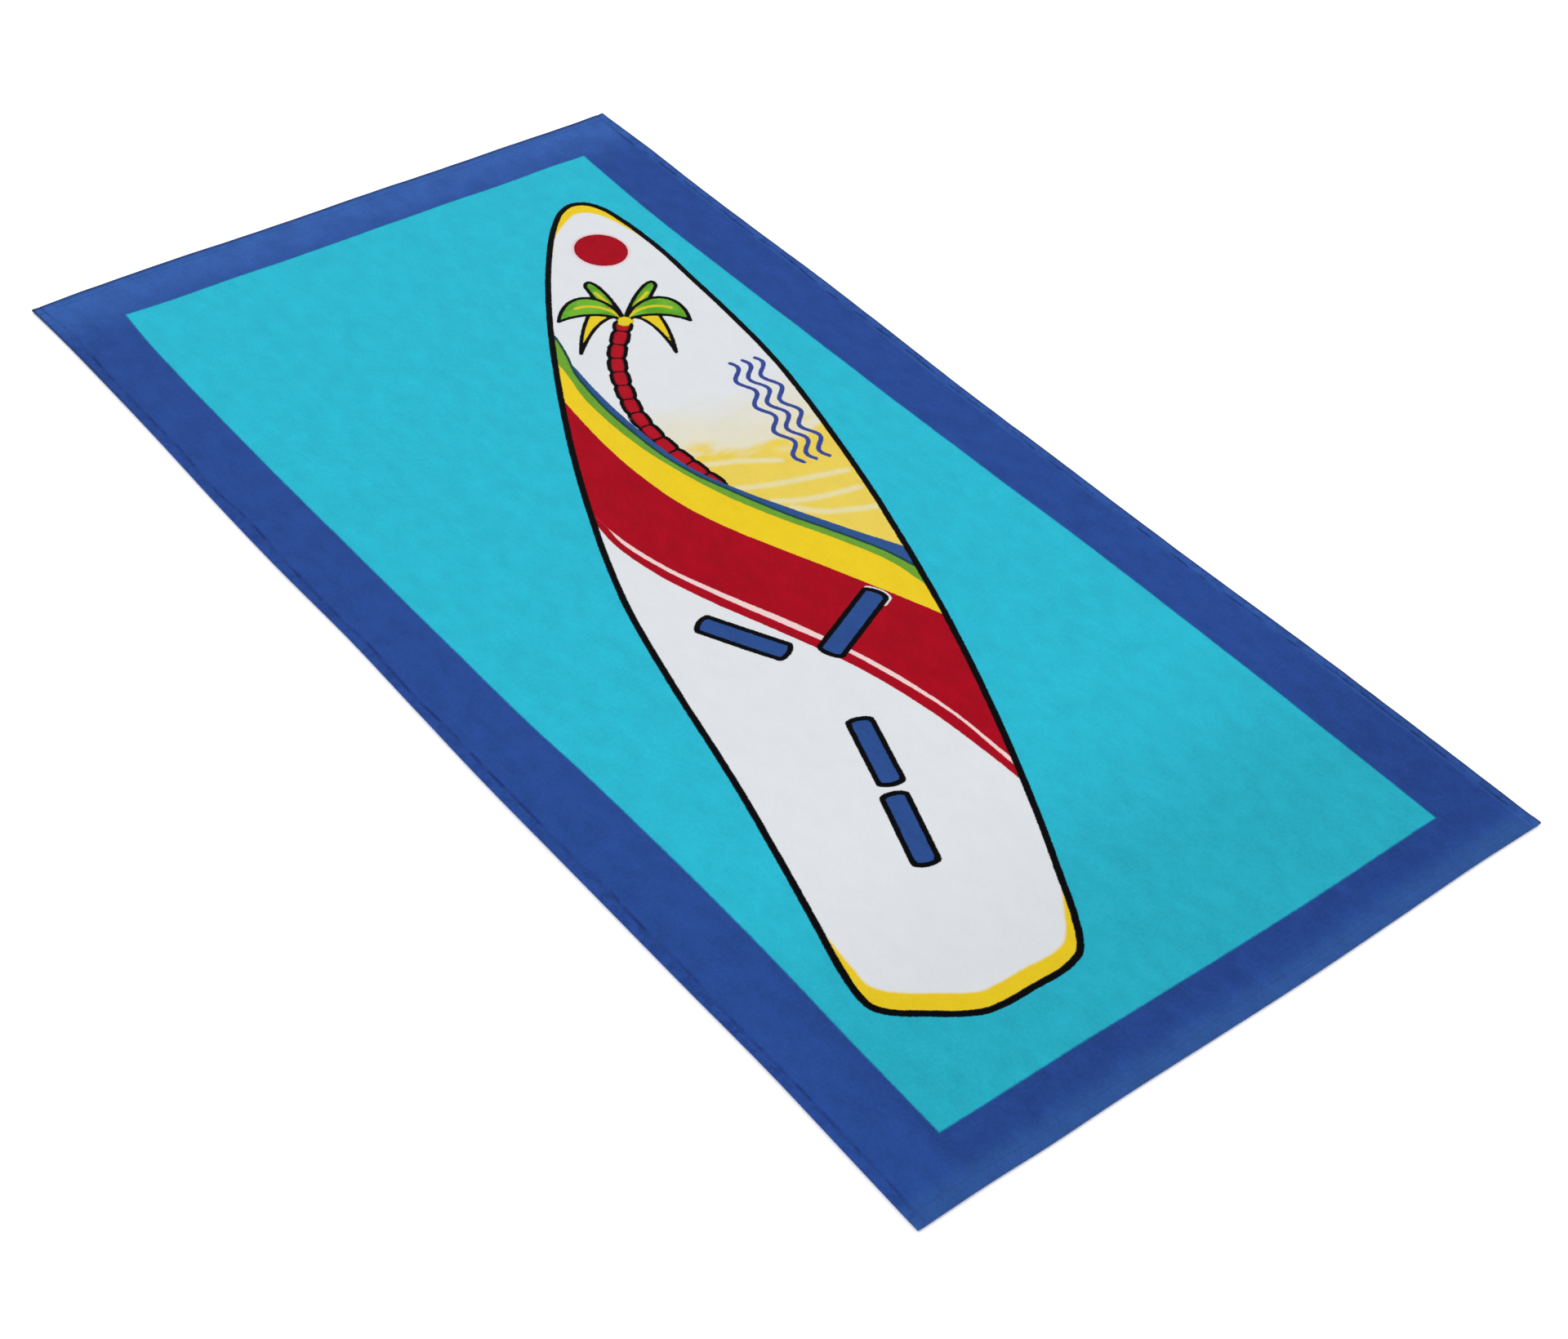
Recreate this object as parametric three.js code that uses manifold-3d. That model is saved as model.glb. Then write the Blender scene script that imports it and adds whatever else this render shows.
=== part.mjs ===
// A printed velour beach towel with folded hems, lying flat with its face up.
// Millimetres, +Z up. The origin is the centre of the underside, on the surface that the towel lies on.
// +Y runs along the towel towards its nose end, the end that the printed board's nose points to.
// Seen from above with the nose end away, -X is left and +X is right.
import * as THREE from "three";
import { mergeVertices } from "three/addons/utils/BufferGeometryUtils.js";
import Module from "manifold-3d";

const wasm = await Module();
wasm.setup();

// Finished size, after hemming.
const WIDTH = 760;
const LENGTH = 1470;

// Cloth: a woven ground with cut pile on its face and looped pile on its back.
const GROUND = 0.7;
const FACE_PILE = 1.2;
const BACK_PILE = 1.7;
const LAYER_GAP = 0.3; // air between one layer and the next

// Hems: the ground turned under twice, so that its raw edge lies inside the fold.
const SIDE_HEM = 12;
const END_HEM = 15;
const RAW_EDGE_GAP = 1; // from the raw edge to where the outer fold begins
const FOLD_STEPS = 8; // flat faces round each fold

// Seams: one needle thread on the face and one bobbin thread below for each hem.
const SIDE_SEAM = 10; // from the finished side edge
const END_SEAM = 12.5; // from the finished end edge
const THREAD = 0.25; // diameter
const THREAD_SIDES = 8;
const THREAD_CLEARANCE = 0.12; // round a thread, and between two that cross
const THREAD_END_GAP = 2; // from a thread's end to the edge or hem that it stops at

// Care label: blank ribbon on the back, beside the left hem near the tail end.
const LABEL_WIDTH = 30;
const LABEL_LENGTH = 45;
const LABEL_THICKNESS = 0.25;
const LABEL_CLEARANCE = 0.3;
const LABEL_FROM_TAIL = 160; // from the tail edge to the label's middle

// Heights above the underside, worked out from the cloth.
const foldPitch = GROUND + LAYER_GAP;
const groundBottom = Math.max(2 * foldPitch, BACK_PILE + LAYER_GAP);
const groundTop = groundBottom + GROUND;
const hemBottom = groundBottom - 2 * foldPitch;
const faceBottom = groundTop + LAYER_GAP;
const faceTop = faceBottom + FACE_PILE;
const backTop = groundBottom - LAYER_GAP;
const backBottom = backTop - BACK_PILE;

const halfWidth = WIDTH / 2;
const halfLength = LENGTH / 2;
const CUT_MARGIN = 1; // how far a cutting solid runs past the face that it opens

// A THREE geometry as a manifold-3d solid.
function solid(geometry) {
  const bare = geometry.clone();
  bare.deleteAttribute("normal");
  bare.deleteAttribute("uv");
  const merged = mergeVertices(bare);
  return new wasm.Manifold(
    new wasm.Mesh({
      numProp: 3,
      vertProperties: new Float32Array(merged.getAttribute("position").array),
      triVerts: new Uint32Array(merged.index.array),
    }),
  );
}

// A manifold-3d solid as a THREE geometry with flat faces.
function geometryOf(made) {
  const mesh = made.getMesh();
  const indexed = new THREE.BufferGeometry();
  indexed.setAttribute("position", new THREE.BufferAttribute(mesh.vertProperties, 3));
  indexed.setIndex(new THREE.BufferAttribute(mesh.triVerts, 1));
  const flat = indexed.toNonIndexed();
  flat.computeVertexNormals();
  return flat;
}

// A box between two corners, each [x, y, z].
function box(low, high) {
  const size = high.map((value, i) => value - low[i]);
  const middle = high.map((value, i) => (value + low[i]) / 2);
  return solid(new THREE.BoxGeometry(...size).translate(...middle));
}

// Points on an arc of the section, from one angle to another, in radians.
function arc(centreU, centreZ, radius, from, to) {
  return Array.from({ length: FOLD_STEPS + 1 }, (_, i) => {
    const angle = from + ((to - from) * i) / FOLD_STEPS;
    return new THREE.Vector2(centreU + radius * Math.cos(angle), centreZ + radius * Math.sin(angle));
  });
}

// Half the section across two hems: from the middle of the top, round the fold and into the hem,
// back round the raw edge, and along the underside to the middle.
function halfSection(half, hem) {
  const up = Math.PI / 2;
  const down = -Math.PI / 2;
  const outer = (groundTop - hemBottom) / 2;
  const outerU = half - outer;
  const outerZ = groundTop - outer;
  const inner = foldPitch / 2 + GROUND / 2;
  const innerU = half - hem + inner;
  const innerZ = hemBottom + inner;
  const rawEdge = outerU - RAW_EDGE_GAP;
  return [
    ...arc(outerU, outerZ, outer, up, down),
    ...arc(innerU, innerZ, inner, down, down - Math.PI),
    new THREE.Vector2(rawEdge, innerZ + inner),
    new THREE.Vector2(rawEdge, innerZ + inner - GROUND),
    ...arc(innerU, innerZ, inner - GROUND, down - Math.PI, down),
    ...arc(outerU, outerZ, outer - GROUND, down, up),
  ];
}

// The ground between two hems, as a section extruded along Y and centred on it.
function hemmedSheet(half, hem, depth) {
  const right = halfSection(half, hem);
  const left = right.map((point) => new THREE.Vector2(-point.x, point.y)).reverse();
  const shape = new THREE.Shape([...right, ...left]);
  const geometry = new THREE.ExtrudeGeometry(shape, { depth, bevelEnabled: false });
  return geometry.rotateX(Math.PI / 2).translate(0, depth / 2, 0);
}

// A straight thread along Y, centred on a point, or along X when turned.
function threadRod(length, x, y, z, alongX) {
  const rod = new THREE.CylinderGeometry(THREAD / 2, THREAD / 2, length, THREAD_SIDES);
  if (alongX) rod.rotateZ(Math.PI / 2);
  return rod.translate(x, y, z);
}

// A groove for a thread: a box centred on its line, from one height to another.
function groove(length, x, y, from, to, alongX) {
  const across = THREAD / 2 + THREAD_CLEARANCE;
  const halfX = alongX ? length / 2 : across;
  const halfY = alongX ? across : length / 2;
  return box([x - halfX, y - halfY, from], [x + halfX, y + halfY, to]);
}

// Where the seams run. The end needle threads lie just under the top of the face pile, and the side
// ones cross below them.
const sideSeamX = halfWidth - SIDE_SEAM;
const endSeamY = halfLength - END_SEAM;
const endNeedleZ = faceTop - THREAD_CLEARANCE - THREAD / 2;
const sideNeedleZ = endNeedleZ - THREAD - THREAD_CLEARANCE;
const bobbinZ = hemBottom + THREAD / 2;
const needleCut = THREAD / 2 + THREAD_CLEARANCE;
const sideHemSpan = LENGTH - 2 * (END_HEM + LAYER_GAP); // the side hems stop at the end hems
const signs = [-1, 1];

function groundWeave() {
  const sides = solid(hemmedSheet(halfWidth, SIDE_HEM, sideHemSpan));
  const ends = solid(hemmedSheet(halfLength, END_HEM, WIDTH).rotateZ(Math.PI / 2));
  let ground = sides.add(ends);
  const from = hemBottom - CUT_MARGIN;
  const to = bobbinZ + needleCut;
  for (const sign of signs) {
    const alongSide = groove(sideHemSpan + LAYER_GAP, sign * sideSeamX, 0, from, to, false);
    const alongEnd = groove(WIDTH + CUT_MARGIN, 0, sign * endSeamY, from, to, true);
    ground = ground.subtract(alongSide).subtract(alongEnd);
  }
  return geometryOf(ground);
}

function velourFacePile() {
  let pile = box([-halfWidth, -halfLength, faceBottom], [halfWidth, halfLength, faceTop]);
  const to = faceTop + CUT_MARGIN;
  for (const sign of signs) {
    const sideCut = sideNeedleZ - needleCut;
    const endCut = endNeedleZ - needleCut;
    const alongSide = groove(LENGTH + CUT_MARGIN, sign * sideSeamX, 0, sideCut, to, false);
    const alongEnd = groove(WIDTH + CUT_MARGIN, 0, sign * endSeamY, endCut, to, true);
    pile = pile.subtract(alongSide).subtract(alongEnd);
  }
  return geometryOf(pile);
}

// The label's edge nearest the hem, its middle along the hem, and its underside.
const labelX = -halfWidth + SIDE_HEM + LAYER_GAP;
const labelY = -halfLength + LABEL_FROM_TAIL;
const labelBottom = Math.max(hemBottom, backBottom);

function loopBackPile() {
  const x = halfWidth - SIDE_HEM - LAYER_GAP;
  const y = halfLength - END_HEM - LAYER_GAP;
  const pile = box([-x, -y, backBottom], [x, y, backTop]);
  const halfRecess = LABEL_LENGTH / 2 + LABEL_CLEARANCE;
  const recess = box(
    [labelX - CUT_MARGIN, labelY - halfRecess, backBottom - CUT_MARGIN],
    [
      labelX + LABEL_WIDTH + LABEL_CLEARANCE,
      labelY + halfRecess,
      labelBottom + LABEL_THICKNESS + LABEL_CLEARANCE,
    ],
  );
  return geometryOf(pile.subtract(recess));
}

function careLabel() {
  const label = new THREE.BoxGeometry(LABEL_WIDTH, LABEL_LENGTH, LABEL_THICKNESS);
  return label.translate(labelX + LABEL_WIDTH / 2, labelY, labelBottom + LABEL_THICKNESS / 2);
}

const towel = new THREE.Group();
towel.name = "beach_towel";

function addPiece(name, geometry, color, roughness) {
  const material = new THREE.MeshStandardMaterial({ color, roughness, metalness: 0 });
  const mesh = new THREE.Mesh(geometry, material);
  mesh.name = name;
  towel.add(mesh);
}

addPiece("ground_weave", groundWeave(), 0x2b4b96, 0.95);
addPiece("velour_face_pile", velourFacePile(), 0x2fb2cf, 1);
addPiece("loop_back_pile", loopBackPile(), 0xe4e2dc, 1);
addPiece("care_label", careLabel(), 0xf4f4f2, 0.5);

const sideNeedle = LENGTH - 2 * THREAD_END_GAP;
const sideBobbin = sideHemSpan - 2 * THREAD_END_GAP;
const endThread = WIDTH - 2 * THREAD_END_GAP;
const THREAD_COLOUR = 0x1d3478;
for (const [side, sign] of [["left", -1], ["right", 1]]) {
  const x = sign * sideSeamX;
  addPiece(`needle_thread_${side}`, threadRod(sideNeedle, x, 0, sideNeedleZ, false), THREAD_COLOUR, 0.6);
  addPiece(`bobbin_thread_${side}`, threadRod(sideBobbin, x, 0, bobbinZ, false), THREAD_COLOUR, 0.6);
}
for (const [end, sign] of [["tail", -1], ["nose", 1]]) {
  const y = sign * endSeamY;
  addPiece(`needle_thread_${end}`, threadRod(endThread, 0, y, endNeedleZ, true), THREAD_COLOUR, 0.6);
  addPiece(`bobbin_thread_${end}`, threadRod(endThread, 0, y, bobbinZ, true), THREAD_COLOUR, 0.6);
}

export default towel;
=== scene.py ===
"""The looks of a printed velour beach towel that lies flat with its face up.

The cloth is worked out in millimetres on its own plan: u runs across from the left edge and v along
from the tail end, and heights are above the surface that the towel lies on. Each finished piece is
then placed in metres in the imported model's frame.
"""

import math

import bpy
import numpy as np
from mathutils import Matrix, Vector


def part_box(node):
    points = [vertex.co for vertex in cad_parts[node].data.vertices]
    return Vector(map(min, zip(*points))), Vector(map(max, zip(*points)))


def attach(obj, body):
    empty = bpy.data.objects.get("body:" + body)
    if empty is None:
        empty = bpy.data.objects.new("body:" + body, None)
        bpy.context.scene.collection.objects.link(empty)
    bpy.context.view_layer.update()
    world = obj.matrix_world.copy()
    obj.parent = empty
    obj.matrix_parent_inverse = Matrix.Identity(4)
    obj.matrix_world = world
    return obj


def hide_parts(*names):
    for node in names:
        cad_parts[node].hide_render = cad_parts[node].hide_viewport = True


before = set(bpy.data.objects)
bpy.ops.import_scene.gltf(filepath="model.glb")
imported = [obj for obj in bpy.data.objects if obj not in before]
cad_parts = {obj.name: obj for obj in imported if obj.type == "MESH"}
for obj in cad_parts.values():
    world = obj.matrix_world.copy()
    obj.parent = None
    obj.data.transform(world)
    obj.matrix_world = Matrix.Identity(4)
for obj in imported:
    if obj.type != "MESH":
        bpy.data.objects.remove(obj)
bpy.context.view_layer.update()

MM = 0.001

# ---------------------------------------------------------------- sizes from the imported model

FACE_LOW, FACE_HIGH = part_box("velour_face_pile")
BACK_LOW, BACK_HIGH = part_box("loop_back_pile")
LABEL_LOW, LABEL_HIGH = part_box("care_label")

LEFT = FACE_LOW.x / MM
TAIL = FACE_LOW.y / MM
WIDTH = (FACE_HIGH.x - FACE_LOW.x) / MM
LENGTH = (FACE_HIGH.y - FACE_LOW.y) / MM
FACE_TOP = FACE_HIGH.z / MM
SIDE_HEM = (BACK_LOW.x - FACE_LOW.x) / MM
END_HEM = (BACK_LOW.y - FACE_LOW.y) / MM
BACK_TOP = BACK_HIGH.z / MM


def seam_place(node, axis, edge):
    """How far a seam's thread lies from the edge beside it."""
    low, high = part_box(node)
    return abs((low[axis] + high[axis]) / 2 / MM - edge)


SIDE_SEAM = seam_place("needle_thread_left", 0, LEFT)
END_SEAM = seam_place("needle_thread_tail", 1, TAIL)

# ---------------------------------------------------------------- sizes of the cloth itself

EDGE_ROLL = 3.0  # how far in from the edge the cloth starts to turn down
FLANGE_BOTTOM = 0.32  # underside of the turned hem
FLANGE_PILE = 0.75  # its thickness
FACE_BOTTOM = 3.08  # underside of the face pile
WALL = 1.3  # thickness of the pile at the edge
ROLL_STEPS = 9

GROUND_THICKNESS = 0.5
GROUND_GAP = 0.16  # between the folded layers of ground
GROUND_TOP = 2.95
GROUND_EDGE = 1.6  # from the towel's edge to the ground's outer fold

THREAD_RADIUS = 0.17
THREAD_SIDES = 6
STITCH = 3.1
STITCH_STEPS = 6  # points along one stitch
THREAD_END_GAP = 2.0
NEEDLE_PROUD = 0.16  # how far the needle thread's middle is over the pile, between stitch holes
NEEDLE_SINKS = 0.75  # how far down it goes at a hole
BOBBIN_PROUD = 0.12  # how far the bobbin thread's middle is below the hem, between stitch holes
BOBBIN_SINKS = 0.35  # how far up it goes at a hole
THREAD_PLAY = 0.12  # how far a stitch wanders from its seam

FAR = 60.0  # a distance that counts as far from any printed line

# ---------------------------------------------------------------- curves


def smooth(values, at, wanted):
    """A smooth curve through values at uneven knots, read at the wanted places."""
    slopes = np.gradient(values, at, axis=0)
    wanted = np.clip(wanted, at[0], at[-1])
    span = np.clip(np.searchsorted(at, wanted, side="right") - 1, 0, len(at) - 2)
    width = at[span + 1] - at[span]
    t = (wanted - at[span]) / width
    if values.ndim > 1:
        t = t[:, None]
        width = width[:, None]
    start = (1 + 2 * t) * (1 - t) ** 2 * values[span] + t * (1 - t) ** 2 * width * slopes[span]
    end = t * t * (3 - 2 * t) * values[span + 1] - t * t * (1 - t) * width * slopes[span + 1]
    return start + end


def across_at(points, v):
    """u of a line that runs along the towel, at each v. The points are (u, v) in rising v."""
    line = np.array(points, float)
    return smooth(line[:, 0], line[:, 1], v)


def run_along(line):
    """How far along a line each of its points is."""
    return np.concatenate([[0], np.cumsum(np.hypot(*np.diff(line, axis=0).T))])


def smooth_line(points, step=3.0):
    """Points a step apart on a smooth open curve through the given ones."""
    line = np.array(points, float)
    at = run_along(line)
    return smooth(line, at, np.linspace(0, at[-1], max(int(at[-1] / step), 2) + 1))


def smooth_loop(points, step=4.0):
    """Points a step apart on a smooth closed curve through the given ones."""
    overlap = 3
    line = np.array(points[-overlap:] + points + points[: overlap + 1], float)
    at = run_along(line)
    first = at[overlap]
    last = at[overlap + len(points)]
    return smooth(line, at, np.linspace(first, last, int((last - first) / step) + 1)[:-1])


def bezier(start, handle_a, handle_b, end, steps=16):
    """Points on a cubic curve between two ends."""
    t = np.linspace(0, 1, steps + 1)[:, None]
    first = (1 - t) ** 3 * np.array(start) + 3 * t * (1 - t) ** 2 * np.array(handle_a)
    return first + 3 * t * t * (1 - t) * np.array(handle_b) + t**3 * np.array(end)


def segments(line, closed):
    """Pairs of neighbouring points of a line."""
    ends = np.roll(line, -1, axis=0)
    pairs = list(zip(line, ends))
    return pairs if closed else pairs[:-1]


def squared_distance(u, v, a, b):
    """Squared distance from each point to one straight segment."""
    du, dv = b - a
    t = np.clip(((u - a[0]) * du + (v - a[1]) * dv) / max(du * du + dv * dv, 1e-9), 0, 1)
    return (u - a[0] - t * du) ** 2 + (v - a[1] - t * dv) ** 2


def close_points(u, v, line):
    """Which points lie in a line's box, widened by FAR."""
    low = line.min(0) - FAR
    high = line.max(0) + FAR
    return (u > low[0]) & (u < high[0]) & (v > low[1]) & (v < high[1])


def line_distance(u, v, line, closed=False):
    """Distance from each point to a line, up to FAR, and negative inside a closed one."""
    line = np.asarray(line, float)
    found = np.full(u.shape, FAR)
    near = close_points(u, v, line)
    un, vn = u[near], v[near]
    best = np.full(un.shape, FAR**2)
    inside = np.zeros(un.shape, bool)
    for a, b in segments(line, closed):
        best = np.minimum(best, squared_distance(un, vn, a, b))
        rise = b[1] - a[1]
        if closed and rise:
            crosses = (a[1] > vn) != (b[1] > vn)
            inside ^= crosses & (un < a[0] + (vn - a[1]) / rise * (b[0] - a[0]))
    found[near] = np.where(inside, -1, 1) * np.sqrt(best)
    return found


def side_distance(u, v, points):
    """How far each point lies to the right of a line that runs along the towel."""
    here = across_at(points, v)
    slope = (across_at(points, v + 1) - across_at(points, v - 1)) / 2
    return (u - here) / np.sqrt(1 + slope**2)


# ---------------------------------------------------------------- the print

# The turquoise field: its left and right sides as (u, v), and its tail and nose ends as (v, u). They
# bend a little, because the cloth lies so.
FIELD_LEFT = [(73.5, 0), (74.6, 70), (76.2, 160), (79.2, 265), (79.9, 360), (79, 460), (77, 560),
              (74, 640), (72.4, 750), (71, 870), (70.5, 1000), (70.5, 1160), (71.6, 1280),
              (73.8, 1350), (78.5, 1411), (83, 1470)]
FIELD_RIGHT = [(682, 0), (683.6, 65), (685.9, 200), (686.4, 380), (687.3, 450), (685.9, 560),
               (682.4, 680), (680.8, 800), (679.2, 980), (678, 1130), (677.9, 1220), (680.4, 1330),
               (684.5, 1404), (688, 1470)]
FIELD_TAIL = [(60.9, 0), (60.9, 75), (60.5, 240), (59.4, 340), (58.2, 440), (58.6, 520), (59.9, 600),
              (61.5, 685), (62, 760)]
FIELD_NOSE = [(1410, 0), (1408.5, 80), (1406.4, 130), (1406.6, 210), (1404.9, 290), (1404.9, 350),
              (1405.2, 480), (1404.2, 575), (1406, 640), (1404.8, 685), (1404.5, 760)]

BOARD = [
    (113, 204), (119.4, 239), (131, 280), (142.5, 320), (176, 440), (213.5, 600), (245.8, 720),
    (310.5, 880), (392, 1040), (463, 1160), (518.3, 1240), (552, 1282), (572, 1303), (592, 1319),
    (608, 1324.5), (624, 1318), (634, 1302), (640, 1268), (642.5, 1220), (636.3, 1120),
    (619.5, 960), (582.8, 800), (534, 640), (475, 480), (404.5, 320), (347, 208),
    (322.5, 163), (309, 143), (300, 134), (284, 129), (240, 128.5), (206, 129.6), (189.5, 132.5),
    (175, 139.7), (148, 159.3), (125.2, 177), (116.8, 186.2), (113.2, 194.5),
]

# The left edge of each stripe that crosses the board, as (u, v).
STRIPES = {
    "stripe_1": [(401, 318), (399.2, 360), (391.3, 440), (373.8, 520), (345.2, 600), (314.7, 680),
                 (297.2, 735), (291.2, 768), (288.8, 795), (293, 845)],
    "stripe_2": [(409, 340), (407, 420), (390.9, 500), (380.3, 540), (357.4, 600), (326.8, 680),
                 (306.5, 740), (297.8, 780), (296, 800), (298.5, 823)],
    "stripe_3": [(413.4, 350), (410.4, 420), (396.6, 500), (365.6, 600), (333.5, 680), (311.5, 740),
                 (303.8, 775), (300, 800), (298.2, 822)],
    "stripe_4": [(496.5, 522), (473.7, 580), (448.9, 640), (422.8, 700), (401.6, 750), (385.8, 800),
                 (378.8, 840), (375, 890), (375.8, 940), (380.3, 990), (383, 1012)],
    "stripe_5": [(508, 580), (502.8, 620), (480, 680), (452.3, 738), (428.2, 800), (412.5, 860),
                 (403, 920), (401.4, 970), (405.5, 1020), (412.3, 1050), (415.3, 1068), (417, 1095)],
    "stripe_6": [(518, 602), (507.5, 640), (490.4, 680), (461.4, 740), (438.5, 800), (424.5, 840),
                 (416, 880), (411.5, 940), (412.3, 990), (415.7, 1020), (420.6, 1050), (431.6, 1082),
                 (437, 1100), (441.5, 1118)],
    "stripe_7": [(530, 630), (503.6, 680), (473.6, 740), (446, 800), (430, 843), (421.4, 900),
                 (419.6, 940), (420.8, 990), (423, 1020), (426.6, 1050), (430.2, 1080), (434, 1100),
                 (437, 1118)],
}

# Yellow ends of the board: the inner curve of each, and the corners that close it past the outline.
NOSE_CURVE = [(536, 1257), (546, 1271), (555, 1280), (570, 1290.2), (586, 1299.8), (601, 1306),
              (612, 1303.3), (621, 1295.3), (628.2, 1280), (633.5, 1259), (643, 1205)]
NOSE_CORNERS = [(690, 1240), (660, 1380), (520, 1360)]
TAIL_CURVE = [(133, 285), (131.4, 262), (128.6, 234), (127.6, 210.5), (133.8, 200), (146, 188.2),
              (170, 170.6), (190, 156.6), (200, 151.2), (212, 149.6), (245, 148.8), (284, 147.5),
              (295, 149.8), (304, 156.5), (320, 175), (336, 194.5), (350, 209.5)]
TAIL_CORNERS = [(370, 190), (320, 80), (80, 80), (80, 285)]

DOT_CENTRE = (583.9, 1230)
DOT_RADII = (30.0, 32.8)

# Foot straps: the middle of each, its length, its width and its turn from the u axis in degrees.
STRAPS = [
    (314.1, 423.6, 88.0, 30.0, 70.5),
    (276.1, 330.2, 89.0, 30.0, 69.4),
    (309.8, 615.7, 93.5, 29.3, -62.1),
    (412.2, 572.5, 106.0, 30.5, 24.3),
]
STRAP_BULGE = 3.5
STRAP_CORNER = 3.0
SHINE_CENTRE = (461, 590)  # the white glint round the outer end of the last strap
SHINE_REACH = 18.0
SHINE_WIDTH = 2.0

# A plain palm, alike on both sides of its crown. Each pair of leaves has its tips this far to the side
# and up, and its outer and inner curves rise this much. Leaves of one layer grow together.
CROWN = (524, 1102)
CROWN_RADIUS = 10.0
PALM_RIGHT = math.radians(-32)  # the palm's own right, turned from the u axis
LEAF_PAIRS = [
    {"tip": (52, -60), "rise": (84, 36), "layer": 0, "yellow": True},
    {"tip": (40, 68), "rise": (32, -16), "layer": 1, "yellow": False},
    {"tip": (73, 0), "rise": (60, 16), "layer": 2, "yellow": False},
]
LEAVES = [(pair, side) for pair in LEAF_PAIRS for side in (-1, 1)]
HANDLE_REACH = (0.92, 0.7)  # how far along a leaf the second handle of each curve lies
VEIN_POINTS = 12  # how much of a leaf's middle line its pale vein follows, of 17 points
TRUNK = [(440, 812), (430.5, 860), (427.5, 905), (432, 950), (449, 1000), (475.5, 1050), (517, 1096)]
TRUNK_WIDTHS = [(0, 3.0), (50, 9.0), (300, 9.4)]
TRUNK_SEGMENT = 25.0
TRUNK_NOTCH = 2.0

# Three wave lines along the right side of the board.
WAVE_MIDDLE = (566, 883)
WAVE_TURN = math.radians(77.5)
WAVE_LENGTH = 186.0
WAVE_HEIGHT = 6.5
WAVE_PERIOD = 46.5
WAVE_OFFSETS = (-15.0, 0.0, 15.0)

SUN_STREAKS = [
    [(440, 803), (480, 785), (520, 772), (560, 760)],
    [(462, 764), (490, 748), (520, 738), (552, 731)],
    [(474, 744), (495, 722), (520, 708), (546, 697)],
    [(436, 852), (480, 832), (512, 812)],
]


def along(middle, turn, distance, offset):
    """A point a distance along a turned line, and an offset to its left."""
    return (
        middle[0] + distance * math.cos(turn) - offset * math.sin(turn),
        middle[1] + distance * math.sin(turn) + offset * math.cos(turn),
    )


def strap_outline(u, v, length, width, degrees):
    """A strap with straight sides, round corners and ends that bulge."""
    turn = math.radians(degrees)
    outline = []
    for end in (1, -1):
        for share in np.linspace(-1, 1, 9):
            side = share * end
            rounding = STRAP_CORNER * max(0.0, abs(share) - 0.6) ** 2 / 0.16 * 0.5
            reach = length / 2 + STRAP_BULGE * (1 - share**2) - rounding
            outline.append(along((u, v), turn, end * reach, side * width / 2))
    return outline


def dot_distance(u, v):
    """Distance from the rim of the red oval, negative inside it."""
    du = (u - DOT_CENTRE[0]) / DOT_RADII[0]
    dv = (v - DOT_CENTRE[1]) / DOT_RADII[1]
    return (np.hypot(du, dv) - 1) * sum(DOT_RADII) / 2


def leaf_curves(pair, side):
    """A leaf's outer and inner curves and the line midway between them, all from crown to tip."""
    across, up = pair["tip"]
    curves = []
    for rise, reach in zip(pair["rise"], HANDLE_REACH):
        places = [(0.25 * across, 0.25 * up + rise), (reach * across, reach * up + rise), (across, up)]
        curves.append(bezier(CROWN, *[along(CROWN, PALM_RIGHT, side * x, y) for x, y in places]))
    outer, inner = curves
    return outer, inner, (outer + inner) / 2


def trunk_fields(u, v):
    """Distance from the trunk's outline, negative inside, and from its bark lines."""
    line = smooth_line(TRUNK, 2.0)
    run = run_along(line)
    best = np.full(u.shape, FAR**2)
    place = np.zeros(u.shape)
    near = close_points(u, v, line)
    for (a, b), start in zip(segments(line, False), run):
        gap = squared_distance(u[near], v[near], a, b)
        step = b - a
        t = ((u[near] - a[0]) * step[0] + (v[near] - a[1]) * step[1]) / (step @ step)
        closer = gap < best[near]
        best[near] = np.where(closer, gap, best[near])
        place[near] = np.where(closer, start + np.clip(t, 0, 1) * np.hypot(*step), place[near])
    lateral = np.sqrt(best)
    widths = np.array(TRUNK_WIDTHS)
    half = np.interp(place, widths[:, 0], widths[:, 1])
    phase = place / TRUNK_SEGMENT % 1
    to_line = np.minimum(phase, 1 - phase) * TRUNK_SEGMENT
    outline = lateral - half + TRUNK_NOTCH * bump(to_line, 3.5)
    return outline, np.where(outline < 0, to_line, FAR)


def leaf_ink(shapes):
    """Distance from the leaves' drawn outlines: a leaf hides those below it and joins its own layer."""
    layers = [pair["layer"] for pair, _ in LEAVES]
    lines = np.full(shapes[0].shape, FAR)
    for i, shape in enumerate(shapes):
        drawn = np.abs(shape)
        for j, over in enumerate(shapes):
            if i != j and layers[j] >= layers[i]:
                drawn = np.maximum(drawn, -over)
        lines = np.minimum(lines, drawn)
    return lines


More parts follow.
